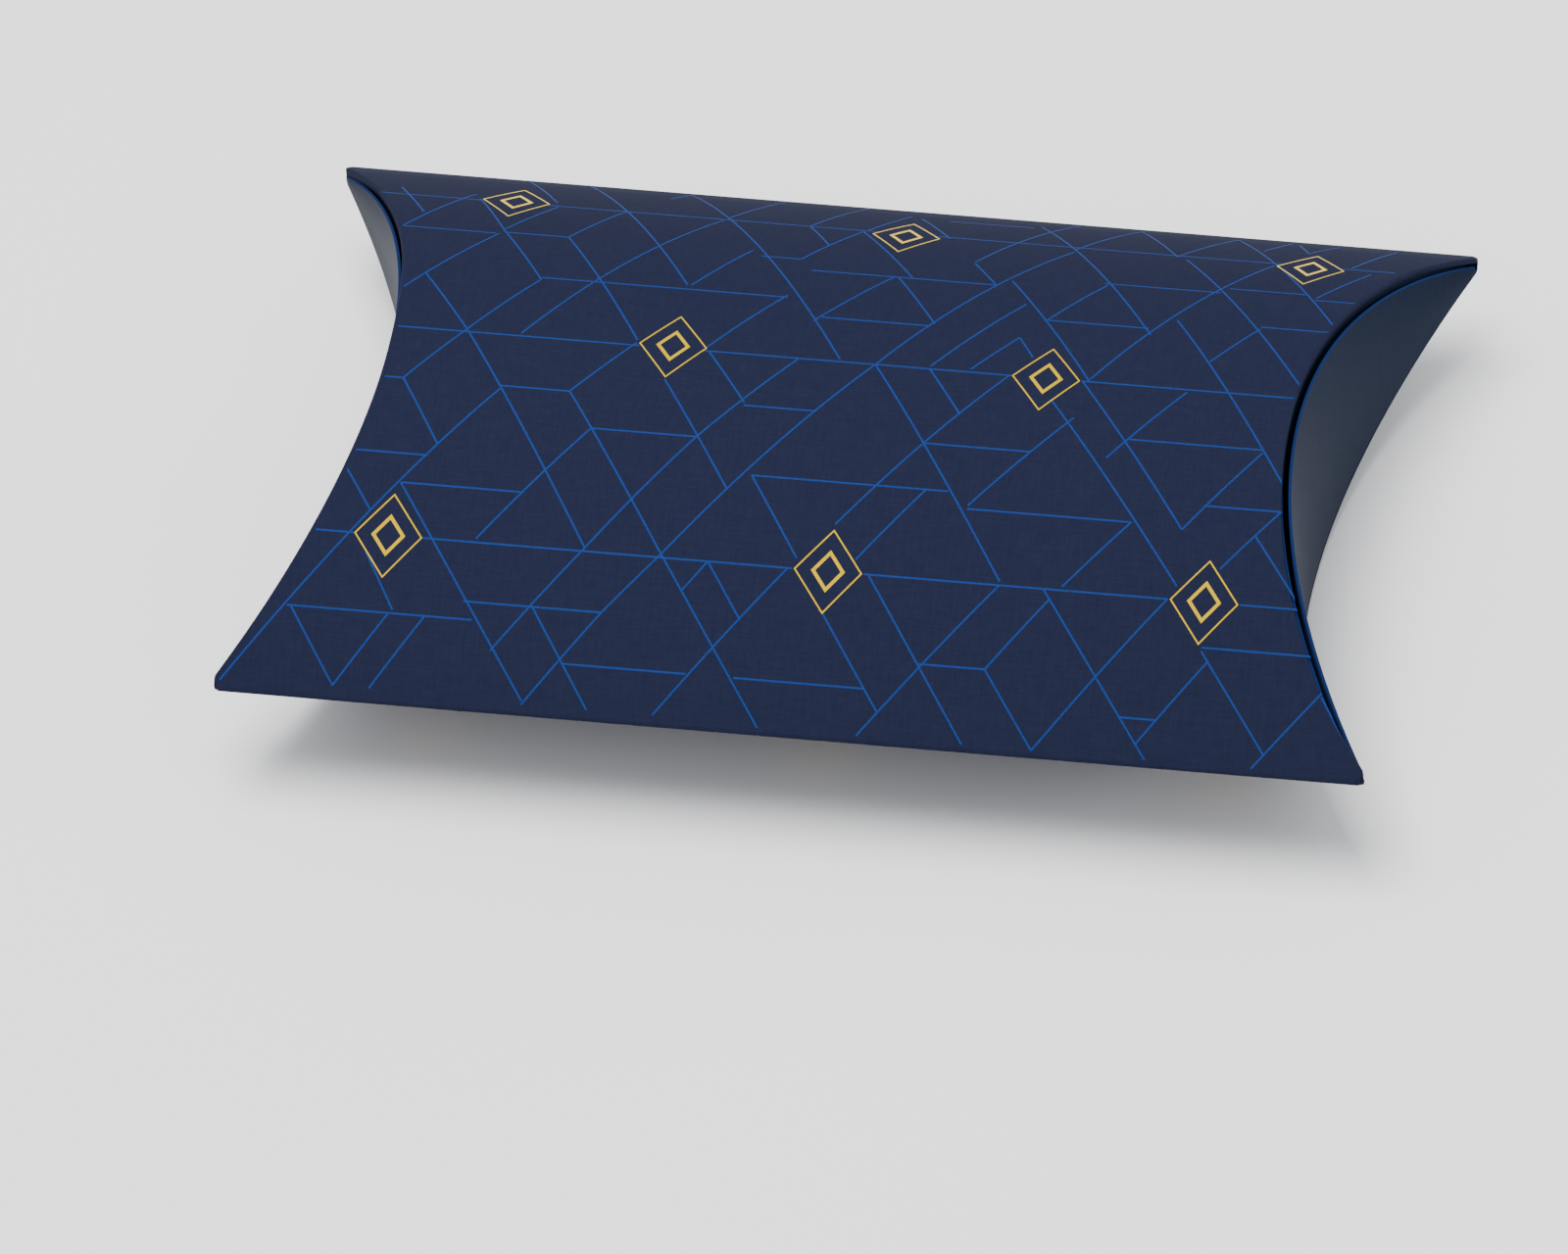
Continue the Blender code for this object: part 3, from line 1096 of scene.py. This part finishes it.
def print_thickness(piece, finish):
    """Turn a flat drawing into a thin layer of ink or foil."""
    piece.data.materials.append(finish)
    layer = piece.modifiers.new("layer", "SOLIDIFY")
    layer.thickness = INK_THICKNESS
    layer.offset = -1
    apply_modifier(piece, layer)


for piece, finish in ((hairlines, hairline_ink), (foil, gold_foil)):
    roll_onto_bulge(piece)
    open_piece(piece)
    for end_name, end in ENDS.items():
        print_end = PRINT_ENDS[end_name]
        print_tip = SKIN_TIP - CREASE_ROUNDING - print_end["margin"]
        trim((end * print_tip, 0, MIDDLE), (end, 0, 1 + print_end["slope"]))
    close_piece()
    print_thickness(piece, finish)
    print(piece.name, len(piece.data.polygons), "faces")

# %% [markdown]
# The lower panel carries the same print, so both pieces are copied and turned over about the
# middle of the box.

# %% The print on the lower panel
turn_over = (
    Matrix.Translation((0, 0, MIDDLE))
    @ Matrix.Rotation(math.pi, 4, "X")
    @ Matrix.Translation((0, 0, -MIDDLE))
)
for piece in (hairlines, foil):
    below = copied(piece)
    below.name = piece.name.replace("top", "bottom")
    below.data.transform(turn_over)
    for layer in (piece, below):
        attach(layer, "sleeve")
    print(below.name, "laid under the box")

# %% [markdown]
# The box stands on a plain pale floor, a third of a millimetre under it, because a fully open
# flap reaches that far down.

# %% The floor
FLOOR_SIZE = 6.0
FLOOR_LEVEL = -0.35 * MM
FLOOR_COLOUR = (0.86, 0.86, 0.865)
FLOOR_ROUGHNESS = 0.9

bpy.ops.mesh.primitive_plane_add(size=FLOOR_SIZE, location=(0, 0, FLOOR_LEVEL))
floor = bpy.context.object
floor.name = "floor"
floor_finish = new_finish("floor_finish", FLOOR_COLOUR, FLOOR_ROUGHNESS)
floor.data.materials.append(floor_finish)
print("floor at", round(FLOOR_LEVEL / MM, 2), "mm")

# %% [markdown]
# The light is that of a small studio: a bright room all round, one large soft lamp above the
# box, and a small weak one low down on the right, which grades the plain face of the shut flap
# there. The card mirrors the room only: a lamp that showed in it would leave a white patch.

# %% The lights
ROOM_COLOUR = (0.95, 0.97, 1.0)
ROOM_STRENGTH = 1.0
LAMPS = {
    "lamp_above": {"place": (-0.10, -0.06, 0.80), "size": (0.55, 0.40), "power": 11},
    "lamp_right": {"place": (0.62, 0.26, 0.06), "size": (0.20, 0.10), "power": 2.5},
}


def soft_lamp(name, place, size, power):
    """A rectangular lamp that looks at the box and doesn't show in reflections."""
    bpy.ops.object.light_add(type="AREA", location=place)
    lamp = bpy.context.object
    lamp.name = name
    lamp.data.shape = "RECTANGLE"
    lamp.data.size = size[0]
    lamp.data.size_y = size[1]
    lamp.data.energy = power
    lamp.visible_glossy = False
    lamp.rotation_euler = (-Vector(place)).to_track_quat("-Z", "Y").to_euler()


room = bpy.data.worlds.new("room")
room.use_nodes = True
backdrop = room.node_tree.nodes["Background"]
backdrop.inputs["Color"].default_value = (*ROOM_COLOUR, 1)
backdrop.inputs["Strength"].default_value = ROOM_STRENGTH
bpy.context.scene.world = room
for name, settings in LAMPS.items():
    soft_lamp(name, **settings)
print("lamps", len(LAMPS))

# %% [markdown]
# The camera stands where the photograph was taken from: far off, half way up, a little to the
# right of the box and slightly tilted. A long lens goes with the distance.

# %% The camera
VIEW_HEIGHT_ANGLE = math.radians(45.94)
VIEW_SIDE_ANGLE = math.radians(13.68)
VIEW_TILT = math.radians(-5.21)
VIEW_DISTANCE = 4.0213
LOOK_AT = Vector((-11.05, 0, -14.12)) * MM
LENS = 675
SENSOR_WIDTH = 36

bpy.ops.object.camera_add()
camera = bpy.context.object
camera.name = "camera"
turn = (
    Matrix.Rotation(VIEW_SIDE_ANGLE, 4, "Z")
    @ Matrix.Rotation(math.pi / 2 - VIEW_HEIGHT_ANGLE, 4, "X")
    @ Matrix.Rotation(VIEW_TILT, 4, "Z")
)
backwards = turn.to_3x3() @ Vector((0, 0, 1))
camera.matrix_world = Matrix.Translation(LOOK_AT + backwards * VIEW_DISTANCE) @ turn
camera.data.lens = LENS
camera.data.sensor_width = SENSOR_WIDTH
camera.data.clip_end = 2 * VIEW_DISTANCE + FLOOR_SIZE
bpy.context.scene.camera = camera
print("camera at", [round(value, 4) for value in camera.matrix_world.translation])
